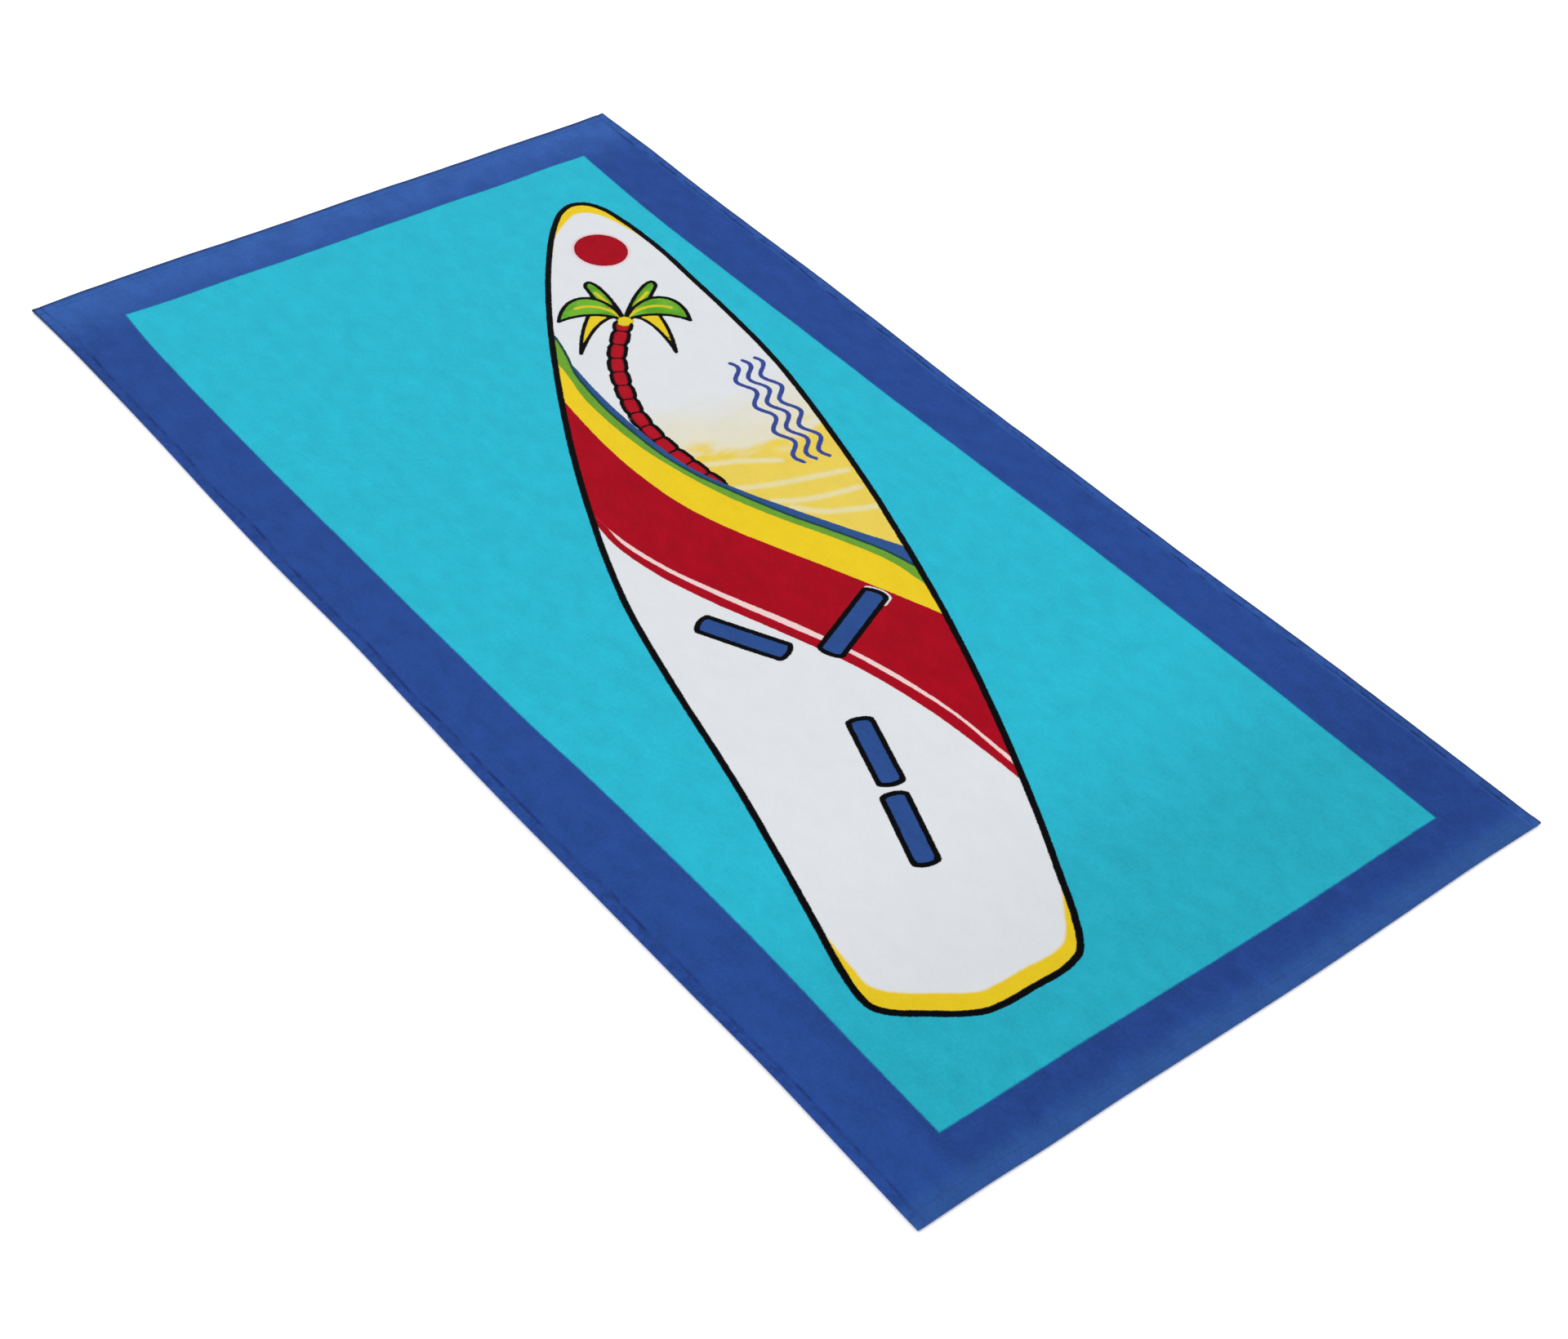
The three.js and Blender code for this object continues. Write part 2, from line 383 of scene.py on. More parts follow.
def palm_fields(u, v):
    """The palm's fills and drawn lines, each as a distance."""
    trunk, bark = trunk_fields(u, v)
    crown = np.hypot(u - CROWN[0], v - CROWN[1])
    shapes = []
    yellow = np.full(u.shape, FAR)
    veins = np.full(u.shape, FAR)
    for pair, side in LEAVES:
        outer, inner, middle = leaf_curves(pair, side)
        shapes.append(line_distance(u, v, np.concatenate([outer, inner[::-1]]), closed=True))
        if pair["yellow"]:
            yellow = np.minimum(yellow, shapes[-1])
        else:
            yellow = np.maximum(yellow, -shapes[-1])
            veins = np.minimum(veins, line_distance(u, v, middle[:VEIN_POINTS]))
    leaves = np.minimum(np.minimum.reduce(shapes), crown - CROWN_RADIUS)
    lines = np.minimum(leaf_ink(shapes), np.maximum(np.abs(trunk), -leaves))
    return {"leaf": -leaves, "ink": np.maximum(lines, CROWN_RADIUS - crown), "crown": crown,
            "bark": np.maximum(bark, -leaves), "vein": veins, "trunk": -trunk, "yellow_leaf": -yellow}


def wave_distance(u, v):
    """Distance to the nearest wave line."""
    run = np.arange(-WAVE_LENGTH / 2, WAVE_LENGTH / 2 + 1, 4.0)
    wave = WAVE_HEIGHT * np.sin(2 * math.pi * run / WAVE_PERIOD)
    lines = [np.stack(along(WAVE_MIDDLE, WAVE_TURN, run, start + wave), 1) for start in WAVE_OFFSETS]
    return np.minimum.reduce([line_distance(u, v, line) for line in lines])


def print_fields(u, v):
    """Every printed shape as a distance in millimetres at each point."""
    fields = {
        "field_sides": np.minimum(side_distance(u, v, smooth_line(FIELD_LEFT)),
                                  -side_distance(u, v, smooth_line(FIELD_RIGHT))),
        "field_ends": np.minimum(side_distance(v, u, smooth_line(FIELD_TAIL)),
                                 -side_distance(v, u, smooth_line(FIELD_NOSE))),
        "board": -line_distance(u, v, smooth_loop(BOARD), closed=True),
        "dot": -dot_distance(u, v),
        "wave": wave_distance(u, v),
    }
    for name, curve, corners in (("nose", NOSE_CURVE, NOSE_CORNERS), ("tail", TAIL_CURVE, TAIL_CORNERS)):
        outline = np.concatenate([smooth_line(curve), corners])
        fields[name] = -line_distance(u, v, outline, closed=True)
    straps = [line_distance(u, v, strap_outline(*strap), closed=True) for strap in STRAPS]
    fields["strap"] = -np.minimum.reduce(straps)
    from_glint = np.hypot(u - SHINE_CENTRE[0], v - SHINE_CENTRE[1]) - SHINE_REACH
    fields["shine"] = -np.maximum(straps[-1] - SHINE_WIDTH, from_glint)
    streaks = [line_distance(u, v, smooth_line(streak, 6.0)) for streak in SUN_STREAKS]
    fields["streak"] = np.minimum.reduce(streaks)
    for name, points in STRIPES.items():
        fields[name] = side_distance(u, v, points)
    fields.update(palm_fields(u, v))
    return fields


# ---------------------------------------------------------------- how the cloth lies

# How far each edge wanders out from a straight line, as (place along it, millimetres outwards).
EDGE_WANDER = {
    "left": [(0, 0.0), (90, -1.3), (190, -2.7), (300, -1.2), (440, 0.2), (610, 1.7), (720, 0.4),
             (820, -0.8), (960, 1.6), (1070, 1.1), (1210, -1.5), (1300, -2.1), (1420, -1.6), (1470, 0.0)],
    "right": [(0, 1.5), (90, 2.4), (200, 2.8), (300, 2.4), (440, -0.1), (520, -0.8), (650, -0.7),
              (780, -1.4), (930, 1.0), (1060, 2.6), (1140, 1.6), (1280, 1.2), (1400, 3.0), (1470, 2.0)],
    "tail": [(0, -0.8), (80, -1.3), (140, -0.3), (220, -0.7), (320, 0.6), (450, 1.7), (560, 0.4),
             (680, -1.3), (760, -0.6)],
    "nose": [(0, 2.5), (60, 4.9), (170, 5.9), (300, 3.7), (440, 4.3), (500, 3.3), (620, 3.6),
             (690, 3.0), (760, 4.0)],
}
SEAM_WANDER = 2.2
SIDE_SEED = 21
END_SEED = 31
HEM_CROWN = 0.5  # how much higher the cloth stands over a hem
SEAM_DIP = 0.8  # how far a side seam draws the pile down
END_SEAM_SHARE = 0.15  # the end seams draw the pile down this much as far as the side seams do

WANDER_HELD = 25.0  # the hem moves whole, and the cloth inside it gives way over this stretch
WANDER_FADES = 130.0


def falling(distance, start, end):
    """1 up to start, 0 past end, and smooth between."""
    t = np.clip((distance - start) / (end - start), 0, 1)
    return 1 - t * t * (3 - 2 * t)


def wander(edge, place, distance):
    """How far the cloth near an edge is moved outwards."""
    points = np.array(EDGE_WANDER[edge], float)
    out = smooth(points[:, 1], points[:, 0], place)
    return out * falling(distance, WANDER_HELD, WANDER_FADES)


def laid(u, v):
    """Where a point of the straight cloth lies on the floor."""
    moved_u = u + wander("right", v, WIDTH - u) - wander("left", v, u)
    moved_v = v + wander("nose", u, LENGTH - v) - wander("tail", u, v)
    return moved_u, moved_v


def ripples(u, v, seed, shortest, longest, count=7):
    """Smooth uneven waves between -1 and 1, the same at every run."""
    random = np.random.default_rng(seed)
    total = np.zeros(np.broadcast(u, v).shape)
    for _ in range(count):
        length = random.uniform(shortest, longest)
        turn = random.uniform(0, math.pi)
        phase = random.uniform(0, 2 * math.pi)
        total = total + np.sin((u * math.cos(turn) + v * math.sin(turn)) * 2 * math.pi / length + phase)
    return total / math.sqrt(count * 2)


RISE = 0.75  # the cloth's gentle waves on the floor
EDGE_REST = 90.0  # they flatten towards the edges over this much


def lift(u, v):
    """How high the cloth's underside is above the floor."""
    wave = ripples(u, v, 11, 170, 420) + 0.35 * ripples(u, v, 12, 70, 120)
    from_edge = np.minimum(np.minimum(u, WIDTH - u), np.minimum(v, LENGTH - v))
    return RISE * (1 + np.tanh(wave)) * (1 - 0.8 * falling(from_edge, 0, EDGE_REST))


def bump(distance, width):
    """1 at no distance, falling away over a width."""
    return np.exp(-((distance / width) ** 2))


def seam_line(seam, place, seed):
    """How far in from the edge a seam is sewn at each place along it: it wanders a little."""
    return seam + SEAM_WANDER * ripples(place, place * 0, seed + 2, 70, 190)


def hem_relief(inset, seam, place, seed, depth):
    """Height that a hem adds to the face: its crown, the seam's dip and puckers beside it."""
    seam = seam_line(seam, place, seed)
    pucker = ripples(place, place * 0, seed, 13, 27)
    gather = ripples(place, place * 0, seed + 1, 28, 60)
    crown = (HEM_CROWN + 0.2 * gather) * falling(inset, seam - 4.5, seam + 0.5)
    dip = (SEAM_DIP + 0.3 * pucker) * bump(inset - seam, 1.25) * depth
    shoulder = (0.28 + 0.34 * pucker) * bump(inset - seam - 4.5, 3.5) * depth
    inner = 0.25 * pucker * bump(inset - seam + 3.5, 2.5) * depth
    return crown - dip + shoulder + inner


def face_height(u, v):
    """Height of the face's top above the cloth's underside."""
    height = np.full(np.broadcast(u, v).shape, FACE_TOP)
    height = height + hem_relief(np.minimum(u, WIDTH - u), SIDE_SEAM, v, SIDE_SEED, 1.0)
    return height + hem_relief(np.minimum(v, LENGTH - v), END_SEAM, u, END_SEED, END_SEAM_SHARE)


# ---------------------------------------------------------------- meshes


def steps_between(start, end, step_at):
    """Places from start to end, each a step after the last."""
    places = [start]
    while places[-1] < end - 0.6 * step_at(places[-1]):
        places.append(places[-1] + step_at(places[-1]))
    places[-1] = end
    return np.array(places)


FACE_STEP = 8.0  # from one point of the face to the next, where nothing asks for less
# Where they lie closer, for the drawing: (from, to, step).
FINE_ACROSS = [(100, 655, 4.4), (425, 628, 2.2)]
FINE_ALONG = [(120, 1335, 4.4), (366, 388, 1.1), (808, 1185, 2.2)]


def cloth_step(total, seam, bands):
    """A step that is short at the seams and fine in some bands."""

    def step(place):
        inset = min(place, total - place)
        fine = [size for start, end, size in bands if start < place < end]
        return min([FACE_STEP, 0.42 + 0.22 * abs(inset - seam), *fine])

    return step


def grid_points(across, up):
    """Every crossing of the two lists, as two flat arrays."""
    u, v = np.meshgrid(across, up)
    return u.ravel(), v.ravel()


def grid_faces(columns, rows, first=0, down=False):
    """Quads of a grid that face up, or down."""
    corner = first + np.arange(rows - 1)[:, None] * columns + np.arange(columns - 1)[None, :]
    corner = corner.ravel()
    quads = np.stack([corner, corner + 1, corner + columns + 1, corner + columns], 1)
    return quads[:, ::-1] if down else quads


def rim(columns, rows, first=0):
    """The grid's outer points in order, turning left as seen from above."""
    low = np.arange(columns)
    right = columns - 1 + columns * np.arange(1, rows)
    high = (rows - 1) * columns + np.arange(columns - 2, -1, -1)
    left = columns * np.arange(rows - 2, 0, -1)
    return first + np.concatenate([low, right, high, left])


def ring_faces(inner, outer):
    """Quads between one closed row of points and the next one outwards."""
    return np.stack([inner, outer, np.roll(outer, -1), np.roll(inner, -1)], 1)


def inset_ring(u, v, inset_u, inset_v, base):
    """The rim moved so that it lies an inset in from the towel's edges."""
    half_u, half_v = WIDTH / 2, LENGTH / 2
    new_u = half_u + (u - half_u) * (half_u - inset_u) / (half_u - base)
    new_v = half_v + (v - half_v) * (half_v - inset_v) / (half_v - base)
    return new_u, new_v


def new_mesh(name, u, v, z, faces):
    """A piece from points on the towel's plan, in millimetres, and quads."""
    mesh = bpy.data.meshes.new(name)
    places = np.stack([(u + LEFT) * MM, (v + TAIL) * MM, z * MM], 1)
    mesh.vertices.add(len(places))
    mesh.vertices.foreach_set("co", places.astype(np.float32).ravel())
    mesh.loops.add(faces.size)
    mesh.loops.foreach_set("vertex_index", faces.astype(np.int32).ravel())
    mesh.polygons.add(len(faces))
    mesh.polygons.foreach_set("loop_start", np.arange(0, faces.size, 4, dtype=np.int32))
    mesh.update(calc_edges=True)
    mesh.polygons.foreach_set("use_smooth", np.ones(len(faces), bool))
    made = bpy.data.objects.new(name, mesh)
    bpy.context.scene.collection.objects.link(made)
    return made


def laid_mesh(name, u, v, z, faces):
    """A piece from points on the straight cloth, laid on the floor as the cloth lies."""
    laid_u, laid_v = laid(u, v)
    return new_mesh(name, laid_u, laid_v, z + lift(u, v), faces)


def laid_slab(name, across, up, top, low):
    """A thin closed sheet, laid, with the same grid above and below. top and low are its heights."""
    u, v = grid_points(across, up)
    edge = rim(len(across), len(up))
    faces = np.concatenate([
        grid_faces(len(across), len(up)), ring_faces(edge, edge + len(u)),
        grid_faces(len(across), len(up), len(u), down=True)])
    return laid_mesh(name, np.tile(u, 2), np.tile(v, 2), np.concatenate([top, low]), faces)


def store(piece, name, columns):
    """Keeps three numbers for each point, for the material to read."""
    layer = piece.data.attributes.new(name, "FLOAT_VECTOR", "POINT")
    values = np.stack(columns, 1).astype(np.float32)
    layer.data.foreach_set("vector", values.ravel())


def store_map(piece, u, v):
    """The map that finished images are laid out on. u and v are per corner, from 0 to 1."""
    layer = piece.data.uv_layers.new(name="OFBake")
    layer.uv.foreach_set("vector", np.stack([u, v], 1).astype(np.float32).ravel())


def level(height):
    """The same height everywhere."""
    return lambda u, v: np.full(len(u), height)


def closed_sheet(across, up, top, rings, bottom):
    """A thin closed sheet: a top grid, rings round its edge and under, and a bottom grid.

    Each ring is (inset_u, inset_v, its height from that of the rim above it). Gives the points' u, v
    and z, and the quads of each part in order.
    """
    columns, rows = len(across), len(up)
    u, v = grid_points(across, up)
    edge = rim(columns, rows)
    points = [(u, v, top(u, v))]
    lines = [edge]
    for inset_u, inset_v, height in rings:
        ring_u, ring_v = inset_ring(u[edge], v[edge], inset_u, inset_v, across[0])
        points.append((ring_u, ring_v, height(points[0][2][edge]) + 0 * ring_u))
        lines.append(len(u) + (len(lines) - 1) * len(edge) + np.arange(len(edge)))
    first = len(u) + len(rings) * len(edge)
    points.append((u, v, bottom(u, v)))
    lines.append(rim(columns, rows, first))
    faces = [grid_faces(columns, rows)]
    faces += [ring_faces(inner, outer) for inner, outer in zip(lines[:-1], lines[1:])]
    faces.append(grid_faces(columns, rows, first, down=True))
    return [np.concatenate(part) for part in zip(*points)], faces


def place_piece(piece, material, node):
    """Every piece is part of the one cloth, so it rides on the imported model's only body."""
    piece.data.materials.append(material)
    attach(piece, "root")
    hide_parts(node)
    return piece


# ---------------------------------------------------------------- the face


def face_rings():
    """The edge of the face: rolled down, turned under as the hem's outside, and back inside."""
    rings = []
    angles = np.linspace(math.pi / 2, -math.pi / 2, ROLL_STEPS)
    for angle in angles[1:]:
        inset = EDGE_ROLL * (1 - math.cos(angle))
        share = (1 + math.sin(angle)) / 2
        rings.append((inset, inset, lambda z, s=share: FLANGE_BOTTOM + (z - FLANGE_BOTTOM) * s))
    for share in (0.33, 0.66, 0.95, 1.0):
        side = EDGE_ROLL + (SIDE_HEM - EDGE_ROLL) * share
        end = EDGE_ROLL + (END_HEM - EDGE_ROLL) * share
        rise = 0.2 if share == 1.0 else 0.0
        rings.append((side, end, lambda z, r=rise: FLANGE_BOTTOM + r))
    outside = len(rings)
    flange_top = FLANGE_BOTTOM + FLANGE_PILE
    rings.append((SIDE_HEM, END_HEM, lambda z: flange_top))
    rings.append((EDGE_ROLL + 0.5, EDGE_ROLL + 0.5, lambda z: flange_top))
    middle = (flange_top + FACE_BOTTOM) / 2
    reach = (FACE_BOTTOM - flange_top) / 2
    for angle in np.linspace(-math.pi / 2, math.pi / 2, 5)[1:-1]:
        inset = EDGE_ROLL - (EDGE_ROLL - WALL) * math.cos(angle)
        rings.append((inset, inset, lambda z, a=angle: middle + reach * math.sin(a)))
    return rings, outside


def ring_runs(rings, start_height):
    """How far along the section each ring lies from the rim, roughly."""
    run = 0.0
    runs = []
    inset, height = EDGE_ROLL, start_height
    for inset_u, inset_v, height_of in rings:
        here = height_of(start_height)
        run += math.hypot(max(inset_u, inset_v) - inset, here - height)
        runs.append(run)
        inset, height = max(inset_u, inset_v), here
    return runs


MAP_REACH = 30.0  # how far the image runs past the towel's edges, for what is turned under
MAP_GAP = 2.0  # how far past the top grid's rim the map puts the innermost ring

# The printed shapes, three to each attribute of the face.
FIELD_GROUPS = [
    ("print_1", ("field_sides", "field_ends", "board")),
    ("print_2", ("stripe_1", "stripe_2", "stripe_3")),
    ("print_3", ("stripe_4", "stripe_5", "stripe_6")),
    ("print_4", ("stripe_7", "nose", "tail")),
    ("print_5", ("strap", "shine", "wave")),
    ("print_6", ("leaf", "ink", "bark")),
    ("print_7", ("trunk", "yellow_leaf", "streak")),
    ("print_8", ("dot", "vein", "crown")),
]


def lay_out_map(faces, plan_u, plan_v, outer_count):
    """Lays the outside over nearly the whole image and the hidden inside on a strip beside it."""
    corners = faces.ravel()
    share_u = (plan_u[corners] + MAP_REACH) / (WIDTH + 2 * MAP_REACH)
    share_v = (plan_v[corners] + MAP_REACH) / (LENGTH + 2 * MAP_REACH)
    inside = np.arange(len(corners)) >= outer_count * 4
    u = np.where(inside, 0.972 + 0.024 * share_u, 0.004 + 0.96 * share_u)
    return u, 0.004 + 0.992 * share_v


def build_face():
    """The printed pile, turned under with the hems."""
    across = steps_between(EDGE_ROLL, WIDTH - EDGE_ROLL, cloth_step(WIDTH, SIDE_SEAM, FINE_ACROSS))
    up = steps_between(EDGE_ROLL, LENGTH - EDGE_ROLL, cloth_step(LENGTH, END_SEAM, FINE_ALONG))
    rings, outside = face_rings()
    (u, v, z), parts = closed_sheet(across, up, face_height, rings, level(FACE_BOTTOM))
    faces = np.concatenate(parts)
    laid_u, laid_v = laid(u, v)
    piece = new_mesh("printed_face", laid_u, laid_v, z + lift(u, v), faces)

    count = len(across) * len(up)
    edge_count = (len(u) - 2 * count) // len(rings)
    shown = np.arange(len(u)) < count + outside * edge_count
    fields = print_fields(laid_u[shown], laid_v[shown])
    for name, members in FIELD_GROUPS:
        columns = []
        for member in members:
            column = np.full(len(u), -FAR)
            column[shown] = fields[member]
            columns.append(column)
        store(piece, name, columns)
    top = np.arange(len(u)) < count
    side, end = np.minimum(u, WIDTH - u), np.minimum(v, LENGTH - v)
    # where the seams dip; the material darkens the pile there as painted shade
    side_dip = bump(side - seam_line(SIDE_SEAM, v, SIDE_SEED), 1.8)
    end_dip = bump(end - seam_line(END_SEAM, u, END_SEED), 1.4)
    dip = np.maximum(side_dip, END_SEAM_SHARE * end_dip)
    store(piece, "hem", [side, end, np.where(top, dip, 0)])

    runs = ring_runs(rings, FACE_TOP)
    plan_u, plan_v = u.copy(), v.copy()
    edge = rim(len(across), len(up))
    for k, run in enumerate(runs):
        if k >= outside:
            run = runs[-1] + MAP_GAP - run
        here = slice(count + k * edge_count, count + (k + 1) * edge_count)
        inset = EDGE_ROLL - run
        plan_u[here], plan_v[here] = inset_ring(u[edge], v[edge], inset, inset, EDGE_ROLL)
    outer_faces = sum(len(part) for part in parts[: outside + 1])
    store_map(piece, *lay_out_map(faces, plan_u, plan_v, outer_faces))
    return piece


# ---------------------------------------------------------------- ground, back and label


def ground_rings():
    """The ground's hem: turned under twice, with its raw edge inside."""
    pitch = GROUND_THICKNESS + GROUND_GAP
    levels = [GROUND_TOP, GROUND_TOP - pitch, GROUND_TOP - 2 * pitch]
    bottom = levels[2] - GROUND_THICKNESS
    rings = []

    def add(inset, z, end_extra=0.0):
        rings.append((inset, inset + end_extra, lambda _, z=z: z))

    extra = END_HEM - SIDE_HEM
    fold_in = SIDE_HEM - 0.9
    for angle in np.linspace(math.pi / 2, -math.pi / 2, 7)[1:-1]:
        middle = (GROUND_TOP + bottom) / 2
        reach = (GROUND_TOP - bottom) / 2
        add(GROUND_EDGE + 1.4 * (1 - math.cos(angle)), middle + reach * math.sin(angle))
    add(GROUND_EDGE + 1.8, bottom)
    add(fold_in, bottom, extra)
    add(fold_in + 0.6, bottom + 0.35, extra)
    add(fold_in + 0.6, levels[1] - 0.3, extra)
    add(fold_in, levels[1], extra)
    add(GROUND_EDGE + 2.6, levels[1])
    add(GROUND_EDGE + 2.6, levels[1] - GROUND_THICKNESS)
    add(fold_in - 0.2, levels[1] - GROUND_THICKNESS, extra)
    add(fold_in - 0.2, bottom + GROUND_THICKNESS, extra)
    add(GROUND_EDGE + 2.2, bottom + GROUND_THICKNESS)
    add(GROUND_EDGE + 0.7, bottom + GROUND_THICKNESS + 0.3)
    add(GROUND_EDGE + 0.7, GROUND_TOP - GROUND_THICKNESS - 0.3)
    return rings


def build_ground():
    """The woven ground that holds both piles."""
    margin = GROUND_EDGE + 2.0

    def step(total):
        return lambda place: 9.0 if min(place, total - place) > 30 else 3.0

    across = steps_between(margin, WIDTH - margin, step(WIDTH))
    up = steps_between(margin, LENGTH - margin, step(LENGTH))
    underside = level(GROUND_TOP - GROUND_THICKNESS)
    (u, v, z), parts = closed_sheet(across, up, level(GROUND_TOP), ground_rings(), underside)
    return laid_mesh("ground_cloth", u, v, z, np.concatenate(parts))


def label_box():
    """The label's low and high corners on the towel's plan."""
    low = (LABEL_LOW.x / MM - LEFT, LABEL_LOW.y / MM - TAIL)
    high = (LABEL_HIGH.x / MM - LEFT, LABEL_HIGH.y / MM - TAIL)
    return low, high


def over_label(u, v, margin):
    """1 over the label, fading to 0 over a margin round it."""
    low, high = label_box()
    outside_u = np.maximum(np.maximum(low[0] - 5 - u, u - high[0]), 0)
    outside_v = np.maximum(np.maximum(low[1] - v, v - high[1]), 0)
    return falling(np.hypot(outside_u, outside_v), 0.5, margin)


LOOP_PITCH = 4.6  # from one drawn tuft of loops to the next
LOOP_HEIGHT = 0.6
EDGE_LOOP_BOTTOM = 0.55  # how far the outermost loops stop short of the floor
UNDER_LABEL = 0.75  # and those over the label
LOOP_TOP_RISE = 0.25  # how much higher the loops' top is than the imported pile's


def loop_relief(u, v):
    """How far the loops stop short of the floor: tufts in rows, every other row shifted."""
    row = np.round(v / (LOOP_PITCH * 0.5))
    shift = (row % 2) * 0.5
    tuft = 0.5 + 0.5 * np.cos(2 * math.pi * (u / LOOP_PITCH + shift))
    uneven = ripples(u, v, 41, 6, 17, 9) * 0.3 + ripples(u, v, 42, 20, 60) * 0.15
    return LOOP_HEIGHT * np.clip(1 - tuft * 0.75 + uneven, 0.0, 1.1)


def build_back():
    """The looped pile on the back, inside the hems."""
    gap = 0.5
    across = steps_between(SIDE_HEM + gap, WIDTH - SIDE_HEM - gap, lambda place: LOOP_PITCH / 2)
    up = steps_between(END_HEM + gap, LENGTH - END_HEM - gap, lambda place: LOOP_PITCH)
    u, v = grid_points(across, up)
    hollow = over_label(u, v, 4.0)
    low = loop_relief(u, v) * (1 - hollow) + UNDER_LABEL * hollow
    low[rim(len(across), len(up))] = EDGE_LOOP_BOTTOM
    top = np.full(len(u), BACK_TOP + LOOP_TOP_RISE)
    return laid_slab("loop_back", across, up, top, low)


LABEL_THICKNESS = 0.22
LABEL_IN_HEM = 4.0  # how much of it is caught in the hem
LABEL_FOLD_HEIGHT = 1.14  # its underside's height there


def build_label():
    """A blank ribbon that comes out of the hem's fold and lies on the loops."""
    (low_u, low_v), (high_u, high_v) = label_box()
    near_hem = np.linspace(low_u - LABEL_IN_HEM, low_u + 4, 9)
    across = np.concatenate([near_hem, np.linspace(low_u + 6, high_u, 10)])
    up = np.linspace(low_v, high_v, 14)
    u, v = grid_points(across, up)
    drop = falling(u, low_u - 1.0, low_u + 3.0)
    curl = 0.10 + 0.06 * np.sin(v / 7.0) + 0.05 * np.cos(u / 5.0)
    under = np.where(drop > 0, LABEL_FOLD_HEIGHT * drop + curl * (1 - drop), curl)
    return laid_slab("care_label_ribbon", across, up, under + LABEL_THICKNESS, under)


# ---------------------------------------------------------------- stitching


def thread_tube(name, u, v, z):
    """A round thread along a line of points."""
    line = np.stack([u, v, z], 1)
    forward = np.gradient(line, axis=0)
    forward /= np.linalg.norm(forward, axis=1)[:, None]
    aside = np.cross(forward, (0, 0, 1))
    aside /= np.linalg.norm(aside, axis=1)[:, None]
    up = np.cross(aside, forward)
    angles = np.linspace(0, 2 * math.pi, THREAD_SIDES, endpoint=False)
    radii = np.full(len(line), THREAD_RADIUS)
    radii[[0, -1]] = THREAD_RADIUS * 0.35
    rings = line[:, None, :] + radii[:, None, None] * (
        np.cos(angles)[None, :, None] * aside[:, None, :] + np.sin(angles)[None, :, None] * up[:, None, :])
    points = rings.reshape(-1, 3)
    starts = np.arange(len(line) - 1)[:, None] * THREAD_SIDES
    here = starts + np.arange(THREAD_SIDES)
    beside = starts + (np.arange(THREAD_SIDES) + 1) % THREAD_SIDES
    walls = np.stack([here, here + THREAD_SIDES, beside + THREAD_SIDES, beside], -1).reshape(-1, 4)
    last = len(points) - THREAD_SIDES
    caps = np.array([[3, 2, 1, 0], [5, 4, 3, 0]])
    ends = np.concatenate([caps, last + caps[:, ::-1]])
    return new_mesh(name, *points.T, np.concatenate([walls[:, ::-1], ends]))


def stitch_line(length, start, seed):
    """Places along a seam, how far each is down its stitch hole, and a little sideways play."""
    count = int(round(length / STITCH))
    place = start + np.linspace(0, length, count * STITCH_STEPS + 1)
    phase = (place - start) / (length / count) % 1
    to_hole = np.minimum(phase, 1 - phase) * length / count
    random = np.random.default_rng(seed)
    play = np.interp(np.arange(len(place)), np.arange(0, len(place), STITCH_STEPS),
                     random.uniform(-THREAD_PLAY, THREAD_PLAY, count + 1))
    return place, bump(to_hole, 0.5), play


def build_thread(name, on_face, along_v, near_edge, seed):
    """One seam's needle thread on the face, or its bobbin thread under the hem."""
    total = LENGTH if along_v else WIDTH
    margin = THREAD_END_GAP
    if along_v and not on_face:
        margin += END_HEM
    place, hole, play = stitch_line(total - 2 * margin, margin, seed)
    if along_v:
        inset = seam_line(SIDE_SEAM, place, SIDE_SEED) + play
    else:
        inset = seam_line(END_SEAM, place, END_SEED) + play
    across = inset if near_edge else (WIDTH if along_v else LENGTH) - inset
    u, v = (across, place) if along_v else (place, across)
    if on_face:
        z = face_height(u, v) + NEEDLE_PROUD - NEEDLE_SINKS * hole
    else:
        z = FLANGE_BOTTOM - BOBBIN_PROUD + BOBBIN_SINKS * hole
    laid_u, laid_v = laid(u, v)
    return thread_tube(name, laid_u, laid_v, z + lift(u, v))


# Each seam: its name, whether it runs along the towel, and whether its edge is at 0.
SEAMS = [("left", True, True), ("right", True, False), ("tail", False, True), ("nose", False, False)]


# ---------------------------------------------------------------- materials


CLOTH_SHARE = 0.80  # what the cloth gives back, beside the screen colour that it shows under this light


def colour(red, green, blue):
    """The dye that shows as a screen colour, 0 to 255, under the studio's light."""
    made = []
    for part in (red, green, blue):
        share = part / 255
        light = share / 12.92 if share <= 0.04045 else ((share + 0.055) / 1.055) ** 2.4
        made.append(light * CLOTH_SHARE)
    return (*made, 1.0)


# The shader's inputs that hold one number for the whole piece.
SOCKETS = {"roughness": "Roughness", "specular": "Specular IOR Level", "sheen": "Sheen Weight",
           "sheen_roughness": "Sheen Roughness"}


